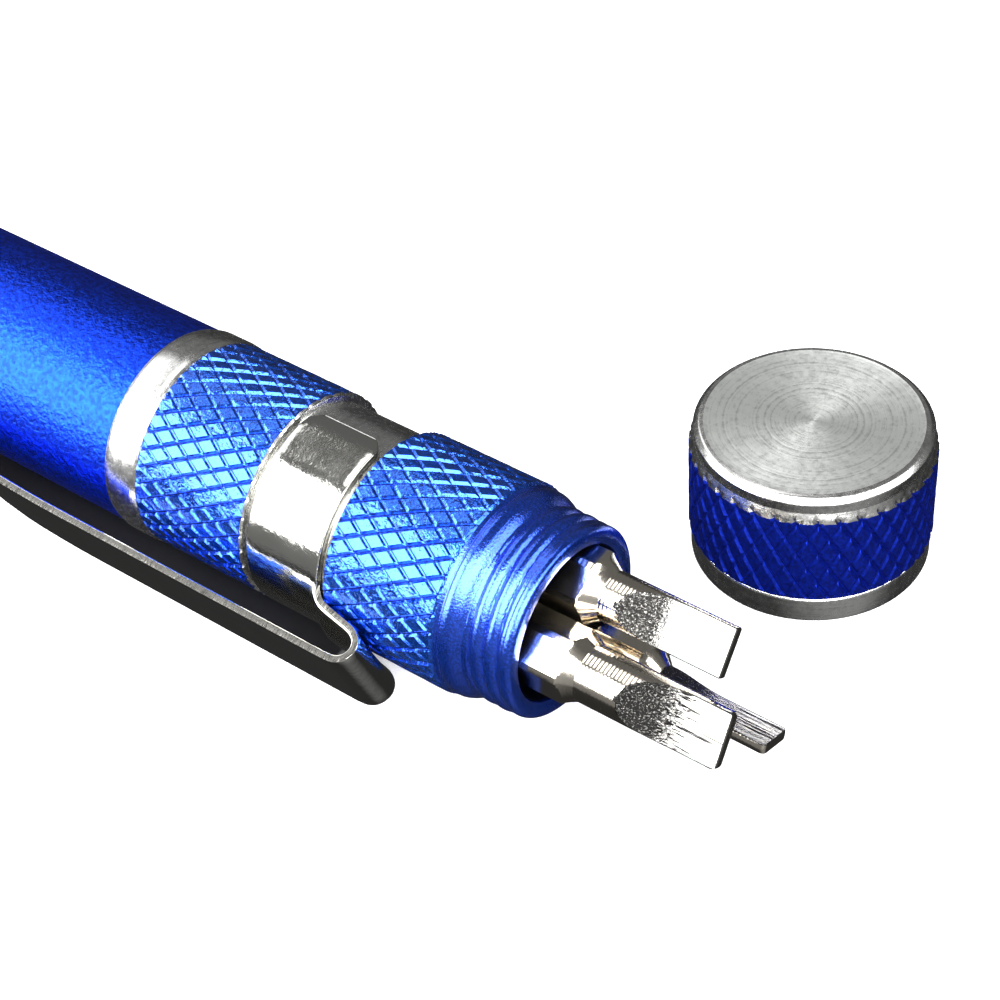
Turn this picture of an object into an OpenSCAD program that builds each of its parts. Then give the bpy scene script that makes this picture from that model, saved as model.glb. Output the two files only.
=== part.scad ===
// Pocket screwdriver: a turned aluminium pen barrel that holds hex bits, lying on a table with its
// screw cap taken off and stood on its mouth beside it.
// The barrel runs along X with its nose at -X and its open mouth at +X. The table is z = 0.

/* [Barrel] */
// Diameter of the smooth barrel
barrel_d = 12.9; // [12.7:0.1:12.9]
// Diameter over the crests of the knurled bands
knurl_d = 13; // [13:0.1:13.3]
// Depth of the knurl's grooves
knurl_depth = 0.3; // [0.15:0.05:0.4]
// Starts of the knurl each way round
knurl_starts = 36; // [28:1:40]
// Diameter of the bright turned ring ahead of the knurl
ring_d = 13.2; // [13.1:0.1:13.6]
// Width of the bright turned ring
ring_w = 2.6; // [2:0.1:4]
// Width of the knurled band ahead of the clip
front_knurl_w = 8.2; // [6:0.1:12]
// Width of the knurled band behind the clip
rear_knurl_w = 7.9; // [7:0.1:12]
// Bore that holds the bits
bore_d = 9.5; // [9.45:0.05:9.8]
// Solid metal between the bore's end and the socket's pocket
nose_web = 4.5; // [2:0.5:20]
// Room ahead of the stored bits when they are pushed home
mouth_room = 0.8; // [0.3:0.1:4]
// Diameter of the nose's straight end
nose_d = 9; // [8.4:0.1:11]
// Length of the nose's straight end
nose_w = 5; // [2:0.5:6]
// Length of the taper between the nose and the barrel
taper_w = 9; // [5:0.5:14]

/* [Screw mouth] */
// Width of the plain rounded shoulder behind the rear knurl
shoulder_w = 1.55; // [1.2:0.05:2.5]
// Diameter over the crests of the mouth's thread
thread_d = 11.8; // [11.6:0.05:11.9]
// Pitch of the mouth's thread
thread_pitch = 1; // [0.8:0.05:1.2]
// Height of the thread's rounded ridges
thread_depth = 0.3; // [0.2:0.05:0.35]

/* [Pocket clip] */
// Thickness of the clip's steel strip
clip_t = 0.45; // [0.35:0.05:0.5]
// Width of the clip's arm
clip_w = 6.2; // [4:0.1:6.4]
// Width of the clip's band in its groove
clip_band_w = 4.5; // [3.5:0.1:5.5]
// Angle that the band wraps round the barrel
clip_wrap = 238; // [200:2:260]
// Angle of the clip's middle round the barrel, from straight up towards the front
clip_angle = 113.8; // [90:0.2:114.8]
// Distance from the clip's fold to the tip of its arm
clip_reach = 39.7; // [34:0.1:60]
// Clear height between the arm and the smooth barrel
clip_gap = 2.05; // [1.6:0.05:2.05]

/* [Cap] */
// Diameter over the crests of the cap's knurl
cap_d = 14.6; // [14:0.1:16]
// Overall height of the cap
cap_h = 9.5; // [9:0.05:13]
// Depth of the hollow in the cap
cap_hollow = 7.6; // [6.5:0.1:7.8]
// Height of the bare band at the cap's mouth
cap_band_h = 1.85; // [1.5:0.05:2.4]
// Height of the bare boss above the cap's knurl
cap_boss_h = 1; // [0.8:0.05:1.8]
// Distance of the cap's middle from the barrel's mouth, towards the tail
cap_x = 3.5; // [0:0.5:30]
// Distance of the cap's middle from the barrel's middle, towards the back
cap_y = 19.2; // [19.2:0.2:40]

/* [Bits] */
// Width across the flats of a bit's hexagonal shank
bit_af = 4; // [3.9:0.02:4]
// Diameter to which a shank's corners are rounded
bit_corner_d = 4.4; // [4.3:0.02:4.4]
// Overall length of a bit
bit_length = 28; // [26:0.2:28]
// Thickness of a ground blade
blade_t = 0.55; // [0.4:0.05:0.8]
// Radius of the grinding wheel that hollows a blade
wheel_r = 6.5; // [5:0.5:9]
// Distance of each stored bit's middle from the barrel's middle
lane_r = 2.5; // [2.48:0.005:2.51]
// How far the medium flat blade stands out of the mouth
medium_out = 9.65; // [4:0.05:14]
// How far the wide flat blade stands out of the mouth
wide_out = 12; // [4:0.05:14]
// How far the small flat blade stands out of the mouth
small_out = 12.9; // [4:0.05:14]

/* [Bit socket] */
// Outer diameter of the steel socket pressed into the nose
socket_d = 7; // [6:0.1:7.6]
// Depth of the hexagonal hole
socket_depth = 14; // [10:0.5:16]
// How far the socket stands out of the nose
socket_out = 1.5; // [0.5:0.1:3]
// Diameter of the magnet at the bottom of the hole
magnet_d = 4; // [3:0.1:4.6]
// Thickness of the magnet
magnet_t = 3; // [2:0.5:5]

/* [Hidden] */

// Named clearances and small sizes
overrun = 1;
facets = 96;
edge_break = 0.25;
swivel_fit = 0.05;
socket_fit = 0.05;
magnet_fit = 0.05;
layer_play = 0.5;
floor_gap = 0.2;
knurl_relief = 0.1;
knurl_seat = 0.25;
knurl_bevel = 0.25;
knurl_helix = 30;
knurl_top_share = 0.62;

// Depths of the bore and of the socket's pocket, and the barrel's length round them
layers = 3;
socket_wall = 2;
socket_pocket = socket_depth - socket_out + magnet_t + socket_wall;
bore_depth = mouth_room + layers * bit_length + (layers - 1) * layer_play + floor_gap;
barrel_length = bore_depth + nose_web + socket_pocket;

// Stations along the barrel, from the mouth back to the nose
thread_w = 3.1 * thread_pitch;
shoulder_x = -thread_w - shoulder_w;
rear_knurl_x = shoulder_x - rear_knurl_w;
groove_side_play = 0.8;
groove_w = clip_band_w + 2 * groove_side_play;
front_knurl_end = rear_knurl_x - groove_w;
front_knurl_x = front_knurl_end - front_knurl_w;
ring_x = front_knurl_x - ring_w;
nose_x = -barrel_length;
taper_x = nose_x + nose_w;
barrel_x = taper_x + taper_w;

// Radii of the barrel
core_r = knurl_d / 2 - knurl_depth - knurl_seat;
groove_r = core_r;
shoulder_drop = 0.15;
shoulder_r = knurl_d / 2 - shoulder_drop;
thread_r = thread_d / 2;
root_r = thread_r - thread_depth;
lip_round = 0.45;
mouth_break = 0.15;
ridge_share = 0.42;
ridge_start_share = 0.55;

// The barrel lies on its ring
axis_z = ring_d / 2;

// Sizes of the cap
cap_knurl_depth = knurl_depth;
cap_core_r = cap_d / 2 - cap_knurl_depth - knurl_seat;
cap_band_r = cap_d / 2 - shoulder_drop;
cap_boss_inset = 0.35;
cap_boss_r = cap_d / 2 - cap_boss_inset;
cap_chamfer = 0.35;
cap_bevel_h = 0.6;
cap_knurl_top = cap_h - cap_boss_h - cap_bevel_h;
cap_thread_fit = 0.1;
cap_bore_r = root_r + cap_thread_fit;
cap_groove_r = thread_depth - cap_thread_fit / 4;
cap_grooves = 4;

// Sizes of the clip, in the plane through the barrel's axis and the middle of the arm
band_in_r = groove_r + swivel_fit;
band_mid_r = band_in_r + clip_t / 2;
band_x = (rear_knurl_x + front_knurl_end) / 2;
band_end_x = band_x + clip_band_w / 2;
knurl_gap = 0.12;
lower_h = knurl_d / 2 + knurl_gap + clip_t / 2;
upper_h = barrel_d / 2 + clip_gap + clip_t / 2;
fold_r = (upper_h - lower_h) / 2;
fold_h = (upper_h + lower_h) / 2;
fold_step = 3.68;
fold_x = rear_knurl_x + fold_step - fold_r;
tip_gap = 0.1;
tip_h = barrel_d / 2 + tip_gap + clip_t / 2;
tip_flare = 0.7;
band_corner_share = 0.22;
bend_share = 0.365;
flare_share = 0.06;
round_share = 0.12;
tip_w_share = 0.3;
tip_round_share = 0.9;
clip_tip_x = fold_x - clip_reach;
bend_w = clip_reach * bend_share;
flare_w = clip_reach * flare_share;
contact_x = clip_tip_x + flare_w;
bend_x = contact_x + bend_w;

// Sizes of a bit
shank_r = bit_corner_d / 2;
neck_w = 1.05;
bit_back_break = 0.3;
lane_turn = 43.5;

// Lanes of the stored bits, as angles round the bore from the back
upper_lane = 56.5;
front_lane = 178;
lower_lane = 290;

// Home places of the stored layers
deep_tip_x = -bore_depth + floor_gap + bit_length;
middle_tip_x = deep_tip_x + layer_play + bit_length;

// Blades: width, length beyond the shank and length of the ground flats
medium_blade = [3, 8.7, 6.6];
wide_blade = [3.4, 9.7, 6.1];
small_blade = [2.4, 8.4, 7.4];
fine_blade = [1.5, 8.4, 7];
extra_blade = [4, 9.7, 6.1];
cross_small = [2.5, 8.5];
cross_fine = [1.8, 8.5];
cross_medium = [3.6, 9.5];
star_small = [1.7, 8.5];
star_medium = [2.4, 8.5];
medium_turn = 54;
wide_turn = 58.4;
small_turn = -15;
cross_cone = 26.5;
cross_web_share = 0.26;
flute_angle = 20;
cross_blunt_share = 0.3;
star_lobe_share = 0.28;
star_tip_w = 1.6;

// Middle of the object's box on the table
box_low_x = nose_x - socket_out - bit_length + socket_depth;
box_high_x = max(small_out, cap_x + cap_d / 2);
clip_corner = axis_reach();
box_low_y = -clip_corner;
box_high_y = cap_y + cap_d / 2;
middle_x = (box_low_x + box_high_x) / 2;
middle_y = (box_low_y + box_high_y) / 2;

// How far the clip's outer corner reaches in front of the barrel's axis
function axis_reach() = (upper_h + clip_t / 2) * sin(clip_angle) - clip_w / 2 * cos(clip_angle);

// Points along an arc, with the given steps
function arc_points(centre, r, from, to, steps) =
    [for (k = [0:steps])
        let (a = from + (to - from) * k / steps)
        [centre[0] + r * cos(a), centre[1] + r * sin(a)]];

// Turns a shape built up along Z so that it runs along X
module along_x() {
    rotate([0, 90, 0]) children();
}

// Puts a piece built about the barrel's axis into the object's frame
module on_axis() {
    translate([-middle_x, -middle_y, axis_z]) children();
}

// Knurled band along X, as one closed solid of flat-topped diamonds between V grooves
// Groove crossings stand at the even places of a grid round the band, diamonds at the odd ones
// The four corners of a diamond's flat top lie towards its west, east, north and south neighbours
module knurl_band(r, depth, starts, from, to) {
    each_way = round(starts);
    around = 2 * each_way;
    foot_r = r - depth - knurl_seat - knurl_relief;
    low = from + knurl_bevel;
    high = to - knurl_bevel;
    rows = round((high - low) * tan(knurl_helix) * each_way / (PI * r));
    top = knurl_top_share;
    function crest(i, j) = (i + j) % 2 == 1;
    function half(i) = floor(((i + around) % around) / 2);
    function spot(x, q, i) = [x, q * cos(360 * i / around), q * sin(360 * i / around)];
    function row_x(j) = low + (high - low) * j / rows;
    function column(k, j) = 2 * k + (j + 1) % 2;
    side_base = (rows + 1) * each_way;
    north_base = side_base + 2 * (rows + 1) * each_way;
    south_base = north_base + rows * each_way;
    foot_base = south_base + rows * each_way;
    points = concat(
        [for (j = [0:rows]) for (k = [0:each_way - 1]) spot(row_x(j), r - depth, 2 * k + j % 2)],
        [for (j = [0:rows]) for (k = [0:each_way - 1]) for (side = [-1, 1])
            spot(row_x(j), r, column(k, j) + side * top)],
        [for (j = [0:rows - 1]) for (k = [0:each_way - 1]) spot(row_x(j + top), r, column(k, j))],
        [for (j = [1:rows]) for (k = [0:each_way - 1]) spot(row_x(j - top), r, column(k, j))],
        [for (k = [0:each_way - 1]) spot(from, foot_r, 2 * k)],
        [for (k = [0:each_way - 1]) spot(to, foot_r, 2 * k + rows % 2)]);
    function groove(i, j) = j * each_way + half(i);
    function side(i, j, q) = side_base + 2 * (j * each_way + half(i)) + q;
    function north(i, j) = north_base + j * each_way + half(i);
    function south(i, j) = south_base + (j - 1) * each_way + half(i);
    function foot(i, end) = foot_base + end * each_way + half(i);
    crests = [for (j = [0:rows]) for (i = [0:around - 1]) if (crest(i, j)) [i, j]];
    upper = [for (c = crests) if (c[1] < rows)
        let (i = c[0], j = c[1], w = side(i, j, 0), e = side(i, j, 1), n = north(i, j),
             west = groove(i - 1, j), east = groove(i + 1, j), far = groove(i, j + 1))
        each [[w, n, e], [west, far, n], [west, n, w], [far, east, e], [far, e, n]]];
    lower = [for (c = crests) if (c[1] > 0)
        let (i = c[0], j = c[1], w = side(i, j, 0), e = side(i, j, 1), s = south(i, j),
             west = groove(i - 1, j), east = groove(i + 1, j), near = groove(i, j - 1))
        each [[w, e, s], [east, near, s], [east, s, e], [near, west, w], [near, w, s]]];
    first_bevel = [for (c = crests) if (c[1] == 0)
        let (i = c[0], w = side(i, 0, 0), e = side(i, 0, 1),
             west = foot(i - 1, 0), east = foot(i + 1, 0))
        each [[west, groove(i - 1, 0), w], [west, w, east], [east, w, e], [east, e, groove(i + 1, 0)]]];
    last_bevel = [for (c = crests) if (c[1] == rows)
        let (i = c[0], j = rows, w = side(i, j, 0), e = side(i, j, 1),
             west = foot(i - 1, 1), east = foot(i + 1, 1))
        each [[west, w, groove(i - 1, j)], [west, east, w], [east, e, w], [east, groove(i + 1, j), e]]];
    first = [for (k = [0:each_way - 1]) foot_base + k];
    last = [for (k = [each_way - 1:-1:0]) foot_base + each_way + k];
    polyhedron(points, concat(upper, lower, first_bevel, last_bevel, [first, last]));
}

// Outline of the turned barrel, as radius and station, from the nose to the mouth
module barrel_outline() {
    polygon(concat(
        [[0, nose_x], [nose_d / 2 - edge_break, nose_x], [nose_d / 2, nose_x + edge_break],
         [nose_d / 2, taper_x], [barrel_d / 2, barrel_x], [barrel_d / 2, ring_x],
         [ring_d / 2, ring_x + edge_break], [ring_d / 2, front_knurl_x - 2 * edge_break],
         [ring_d / 2 - edge_break, front_knurl_x - edge_break], [core_r, front_knurl_x - knurl_relief],
         [core_r, shoulder_x + knurl_relief], [shoulder_r, shoulder_x + knurl_relief]],
        shoulder_round(),
        [[root_r, -lip_round], [root_r, 0], [0, 0]]));
}

// Rounded fall of the shoulder to the root of the thread
function shoulder_round() =
    let (fall = shoulder_r - root_r, run = shoulder_w - 3 * knurl_relief)
    [for (k = [0:8]) let (a = 90 - 90 * k / 8)
        [root_r + fall * sin(a), -thread_w - run + run * cos(a)]];

// Rounded ridges of the mouth's thread and its lip
module thread_outline() {
    ridge_r = thread_pitch * ridge_share;
    for (k = [0:1])
        translate([thread_r - ridge_r, -thread_w + (k + ridge_start_share) * thread_pitch])
            circle(r = ridge_r, $fn = facets);
    translate([thread_r - lip_round, -lip_round]) circle(r = lip_round, $fn = facets);
    translate([thread_r - ridge_r, -lip_round - edge_break]) circle(r = ridge_r, $fn = facets);
}

// One turned aluminium piece: nose, smooth barrel, ring, two knurled bands, clip groove and screw mouth
module barrel() {
    color("royalblue") on_axis() difference() {
        union() {
            along_x() rotate_extrude($fn = facets) {
                barrel_outline();
                thread_outline();
            }
            knurl_band(knurl_d / 2, knurl_depth, knurl_starts, front_knurl_x, front_knurl_end);
            knurl_band(knurl_d / 2, knurl_depth, knurl_starts, rear_knurl_x, shoulder_x);
        }
        translate([-bore_depth, 0, 0]) along_x()
            cylinder(d = bore_d, h = bore_depth + overrun, $fn = facets);
        translate([-mouth_break, 0, 0]) along_x()
            cylinder(r1 = bore_d / 2, r2 = bore_d / 2 + mouth_break + overrun,
                     h = mouth_break + overrun, $fn = facets);
        translate([nose_x - overrun, 0, 0]) along_x()
            cylinder(d = socket_d, h = socket_pocket + overrun, $fn = facets);
    }
}

// Steel socket pressed into the nose, with a hexagonal hole and a pocket for the magnet
module bit_socket() {
    color("silver") on_axis() translate([nose_x - socket_out, 0, 0]) difference() {
        along_x() rotate_extrude($fn = facets)
            polygon([[0, 0], [socket_d / 2 - edge_break, 0], [socket_d / 2, edge_break],
                     [socket_d / 2, socket_out + socket_pocket], [0, socket_out + socket_pocket]]);
        translate([-overrun, 0, 0]) rotate([-lane_turn, 0, 0]) along_x() rotate([0, 0, 90])
            cylinder(r = (bit_af / 2 + socket_fit) / cos(30), h = socket_depth + overrun, $fn = 6);
        along_x() translate([0, 0, socket_depth - edge_break])
            cylinder(r = magnet_d / 2 + magnet_fit, h = magnet_t + edge_break, $fn = facets);
    }
}

// Round magnet that keeps the working bit in the socket
module socket_magnet() {
    color("dimgray") on_axis() translate([nose_x - socket_out + socket_depth, 0, 0]) along_x()
        rotate_extrude($fn = facets)
            polygon([[0, 0], [magnet_d / 2 - edge_break, 0], [magnet_d / 2, edge_break],
                     [magnet_d / 2, magnet_t - magnet_fit], [0, magnet_t - magnet_fit]]);
}

// Middle line of the clip's strip, as station and height over the axis, with its sideways bow
// Each entry is [station, height, bow share, width share]
function clip_line() = concat(
    [[band_end_x - 2 * clip_t, band_mid_r, 1, 1], [band_end_x - clip_t / 2, band_mid_r, 1, 1],
     [rear_knurl_x - clip_t / 2, lower_h, 1, 1]],
    [for (k = [1:4]) [rear_knurl_x - clip_t / 2 + (fold_x - rear_knurl_x + clip_t / 2) * k / 4,
                      lower_h, 1 - k / 4, 1]],
    [for (k = [1:9]) let (a = -90 + 18 * k) [fold_x + fold_r * cos(a), fold_h + fold_r * sin(a), 0, 1]],
    [for (k = [0:1]) [fold_x + (bend_x - fold_x) * k, upper_h, 0, 1]],
    [for (k = [1:8]) let (s = k / 8)
        [bend_x - bend_w * s, upper_h - (upper_h - tip_h) * pow(s, 2), 0, tip_w(s)]],
    [for (k = [1:3]) let (s = k / 3)
        [contact_x - flare_w * s, tip_h + tip_flare * pow(s, 2), 0, end_w(s)]]);

// Width of the arm as it narrows along the bend and rounds off at the tip
function tip_w(s) = 1 - round_share * s * s;
function end_w(s) = max(tip_w_share, (1 - round_share) * sqrt(1 - tip_round_share * s * s));

// Strip swept along the middle line, with a bowed cross-section near the band
module clip_strip() {
    line = clip_line();
    count = len(line);
    lanes = 8;
    function run(k) = let (a = line[max(0, k - 1)], b = line[min(count - 1, k + 1)],
                           d = [b[0] - a[0], b[1] - a[1]]) d / norm(d);
    function bow(k, s) = line[k][2] * (sqrt(pow(line[k][1], 2) - s * s) - line[k][1]);
    points = [for (k = [0:count - 1]) for (side = [1, -1]) for (i = [0:lanes])
        let (p = line[k], d = run(k), s = clip_w * p[3] * (side * (i / lanes - 0.5)))
        [p[0] - side * d[1] * clip_t / 2, s, p[1] + side * d[0] * clip_t / 2 + bow(k, s)]];
    ring = 2 * (lanes + 1);
    sides = [for (k = [0:count - 2]) for (i = [0:ring - 1])
        each [[k * ring + i, k * ring + (i + 1) % ring, (k + 1) * ring + i],
              [(k + 1) * ring + i, k * ring + (i + 1) % ring, (k + 1) * ring + (i + 1) % ring]]];
    function cap_faces(base, flip) = [for (i = [0:lanes - 1])
        each let (a = base + i, b = base + i + 1, c = base + ring - 2 - i, e = base + ring - 1 - i)
            flip ? [[a, c, b], [a, e, c]] : [[a, b, c], [a, c, e]]];
    polyhedron(points, concat(sides, cap_faces(0, true), cap_faces((count - 1) * ring, false)));
}

// Open band of the clip in its groove, with its corners cut off at the two free ends
module clip_band() {
    difference() {
        translate([band_x - clip_band_w / 2, 0, 0]) rotate([clip_wrap / 2, 0, 0]) along_x()
            rotate([0, 0, 180]) rotate_extrude(angle = clip_wrap, $fn = facets)
                translate([band_in_r, 0]) square([clip_t, clip_band_w]);
        for (end = [0, 1]) for (side = [0, 1])
            translate([band_x, 0, 0]) mirror([side, 0, 0]) mirror([0, end, 0]) rotate([clip_wrap / 2, 0, 0])
                band_corner();
    }
}

// What is cut away at a corner of the band's end, seen from the end's own radius
module band_corner() {
    cut = clip_band_w * band_corner_share;
    translate([(clip_band_w - cut) / 2, -cut / 2, band_in_r - clip_t]) rotate([0, 0, 45])
        translate([0, -cut, 0]) cube([cut, 2 * cut, 3 * clip_t]);
}

// Spring steel clip: a band that turns in the groove, folded back into a long arm
module pocket_clip() {
    color("silver") on_axis() rotate([clip_angle, 0, 0]) {
        clip_band();
        clip_strip();
    }
}

// Outline of the cap, as radius and height, standing on its mouth
module cap_outline() {
    polygon([[0, 0], [cap_band_r - edge_break, 0], [cap_band_r, edge_break],
             [cap_band_r, cap_band_h - knurl_relief], [cap_core_r, cap_band_h - knurl_relief],
             [cap_core_r, cap_knurl_top + knurl_relief], [cap_boss_r, cap_knurl_top + cap_bevel_h],
             [cap_boss_r, cap_h - cap_chamfer], [cap_boss_r - cap_chamfer, cap_h], [0, cap_h]]);
}

// Screw cap with a knurled wall, a bare mouth band and a bare boss
module cap() {
    color("navy") translate([cap_x - middle_x, cap_y - middle_y, 0]) difference() {
        union() {
            rotate_extrude($fn = facets) cap_outline();
            rotate([0, -90, 0])
                knurl_band(cap_d / 2, cap_knurl_depth, knurl_starts, cap_band_h, cap_knurl_top);
        }
        translate([0, 0, -overrun]) cylinder(r = cap_bore_r, h = cap_hollow + overrun, $fn = facets);
        for (k = [1:cap_grooves])
            translate([0, 0, k * thread_pitch]) rotate_extrude($fn = facets)
                translate([cap_bore_r, 0]) circle(r = cap_groove_r, $fn = facets);
    }
}

// Hexagonal shank with rounded corners, a broken back edge and a cone down to the shaft
// The bit's tip is at the origin and it points along +X
module shank(shaft_r, shaft_w) {
    back = -bit_length;
    front = -shaft_w;
    intersection() {
        translate([back, 0, 0]) rotate([lane_turn, 0, 0]) along_x() rotate([0, 0, 90])
            cylinder(r = bit_af / 2 / cos(30), h = bit_length, $fn = 6);
        along_x() rotate_extrude($fn = facets)
            polygon([[0, back], [shank_r - bit_back_break, back], [shank_r, back + bit_back_break],
                     [shank_r, front], [shaft_r, front + neck_w], [0, front + neck_w]]);
    }
}

// Flat blade: a round shaft hollowed on both sides by a grinding wheel
module flat_bit(blade, turn) {
    r = blade[0] / 2;
    shaft_w = blade[1];
    ground_w = blade[2];
    drop = max(r - blade_t / 2, overrun / 10);
    run_out = sqrt(max(2 * wheel_r * drop - drop * drop, 0));
    shank(r, shaft_w);
    rotate([turn, 0, 0]) difference() {
        translate([-shaft_w, 0, 0]) along_x() cylinder(r = r, h = shaft_w, $fn = facets);
        for (side = [0, 1]) mirror([0, 0, side]) {
            translate([-ground_w + run_out, 0, blade_t / 2 + wheel_r]) rotate([90, 0, 0])
                cylinder(r = wheel_r, h = 2 * r + 2 * overrun, center = true, $fn = facets);
            translate([-ground_w + run_out, -r - overrun, blade_t / 2])
                cube([ground_w - run_out + overrun, 2 * r + 2 * overrun, wheel_r]);
        }
    }
}

// Cross tip: a blunt cone with four wings left between four slanted cuts
module cross_bit(tip) {
    r = tip[0] / 2;
    shaft_w = tip[1];
    blunt_r = r * cross_blunt_share;
    cone_w = (r - blunt_r) / tan(cross_cone);
    web = r * cross_web_share;
    shank(r, shaft_w);
    difference() {
        along_x() rotate_extrude($fn = facets)
            polygon([[0, -shaft_w], [r, -shaft_w], [r, -cone_w], [blunt_r, 0], [0, 0]]);
        for (a = [45, 135, 225, 315]) rotate([a, 0, 0])
            translate([0, 0, web]) rotate([0, flute_angle - 90, 0]) rotate([0, 0, -45])
                translate([0, 0, -overrun]) cube([wheel_r, wheel_r, 3 * cone_w + overrun]);
    }
}

// Star tip: a straight six-lobed end on a round shaft
module star_bit(tip) {
    r = tip[0] / 2;
    shaft_w = tip[1];
    lobe = r * star_lobe_share;
    shank(r, shaft_w);
    difference() {
        translate([-shaft_w, 0, 0]) along_x() cylinder(r = r, h = shaft_w, $fn = facets);
        for (k = [0:5]) rotate([60 * k, 0, 0]) translate([-star_tip_w, 0, r + lobe / 4])
            along_x() cylinder(r = lobe, h = star_tip_w + overrun, $fn = facets);
    }
}

// Puts a bit into its lane in the bore, with its tip at a station
module in_lane(lane, tip_x) {
    on_axis() translate([tip_x, lane_r * cos(lane), lane_r * sin(lane)]) children();
}

module flat_bit_medium() {
    color("gainsboro") in_lane(upper_lane, medium_out) flat_bit(medium_blade, medium_turn);
}

module flat_bit_wide() {
    color("gainsboro") in_lane(front_lane, wide_out) flat_bit(wide_blade, wide_turn);
}

module flat_bit_small() {
    color("gainsboro") in_lane(lower_lane, small_out) flat_bit(small_blade, small_turn);
}

module cross_bit_small() {
    color("gainsboro") in_lane(upper_lane, middle_tip_x) cross_bit(cross_small);
}

module cross_bit_fine() {
    color("gainsboro") in_lane(front_lane, middle_tip_x) cross_bit(cross_fine);
}

module flat_bit_fine() {
    color("gainsboro") in_lane(lower_lane, middle_tip_x) flat_bit(fine_blade, medium_turn);
}

module star_bit_small() {
    color("gainsboro") in_lane(upper_lane, deep_tip_x) star_bit(star_small);
}

module star_bit_medium() {
    color("gainsboro") in_lane(front_lane, deep_tip_x) star_bit(star_medium);
}

module flat_bit_extra_wide() {
    color("gainsboro") in_lane(lower_lane, deep_tip_x) flat_bit(extra_blade, medium_turn);
}

// Working bit in the nose, with its tip away from the barrel
module cross_bit_medium() {
    color("gainsboro") on_axis() translate([nose_x - socket_out + socket_depth - bit_length, 0, 0])
        rotate([0, 0, 180]) cross_bit(cross_medium);
}

barrel();
bit_socket();
socket_magnet();
pocket_clip();
cap();
flat_bit_medium();
flat_bit_wide();
flat_bit_small();
cross_bit_small();
cross_bit_fine();
flat_bit_fine();
star_bit_small();
star_bit_medium();
flat_bit_extra_wide();
cross_bit_medium();
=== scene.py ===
"""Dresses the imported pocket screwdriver: a blue anodised pen barrel, its clip, its cap and its bits."""
import math
import random
from collections import namedtuple
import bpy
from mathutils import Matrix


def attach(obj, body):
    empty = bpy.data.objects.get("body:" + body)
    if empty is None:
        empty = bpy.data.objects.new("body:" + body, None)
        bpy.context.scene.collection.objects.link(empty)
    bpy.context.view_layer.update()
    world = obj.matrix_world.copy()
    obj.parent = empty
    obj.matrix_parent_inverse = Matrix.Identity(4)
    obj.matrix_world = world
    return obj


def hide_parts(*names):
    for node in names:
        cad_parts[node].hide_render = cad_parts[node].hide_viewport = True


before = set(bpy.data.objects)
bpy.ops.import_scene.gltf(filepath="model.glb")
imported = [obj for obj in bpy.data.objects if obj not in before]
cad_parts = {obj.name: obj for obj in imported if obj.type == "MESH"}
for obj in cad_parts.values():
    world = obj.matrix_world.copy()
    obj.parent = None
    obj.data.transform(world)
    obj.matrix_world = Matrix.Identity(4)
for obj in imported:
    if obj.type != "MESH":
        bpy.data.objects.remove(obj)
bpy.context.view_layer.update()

from types import SimpleNamespace

import bpy
import numpy as np
from bpy.props import FloatProperty, FloatVectorProperty, IntProperty, PointerProperty
from mathutils import Matrix, Vector

bl_info = {
    "name": "Pocket Screwdriver",
    "version": (1, 0, 0),
    "blender": (4, 5, 0),
    "location": "View3D > Sidebar > Screwdriver",
    "description": "Builds the look of a pen-shaped pocket screwdriver on its packed frame",
    "category": "Add Mesh",
}

MM = 0.001

# The overall box's middle, from the barrel's mouth and axis, and the axis's height, in millimetres

MIDDLE_X = -55.3
MIDDLE_Y = 8.53
AXIS_Z = 6.6
AXIS_ORIGIN = (-MIDDLE_X, -MIDDLE_Y, AXIS_Z)

# Stations along the barrel from its mouth, and the radius of the knurl's turned-down ends

RING_START = -29.5
RING_END = -26.95
GROOVE_START = -18.7
GROOVE_END = -12.55
SHOULDER = -4.75
KNURL_EDGE_R = 6.34

# Half a groove of a knurl, its flat floor and its whole width, as shares of the grooves' distance

FLOOR_EDGE = 0.03
WALL_TOP = 0.16

# Outline of the clip's strip: steps of a flat side and of a corner, points, and sheared edges

LANES = 12
ARC = 3
SECTION = 2 * LANES + 4 * ARC
SHEARED = (LANES + ARC, 2 * LANES + 3 * ARC)


def signed(name, words, millimetres, **limits):
    """A coordinate property, given in millimetres and kept in metres."""
    return FloatProperty(name=name, description=words, default=millimetres * MM, precision=5,
                         unit="LENGTH", subtype="DISTANCE", **limits)


def length(name, words, millimetres):
    """A length property, given in millimetres and kept in metres."""
    return signed(name, words, millimetres, min=0.0)


def angle(name, words, degrees):
    """An angle property, given in degrees and kept in radians."""
    return FloatProperty(name=name, description=words, default=math.radians(degrees),
                         unit="ROTATION", subtype="ANGLE")


def share(name, words, value, high=1.0):
    """A plain number property between 0 and high."""
    return FloatProperty(name=name, description=words, default=value, min=0.0, max=high)


def colour(name, value):
    """A linear colour property."""
    return FloatVectorProperty(name=name, description="Colour of the " + name.lower(), default=value,
                               size=3, subtype="COLOR", min=0.0, max=1.0)


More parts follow.
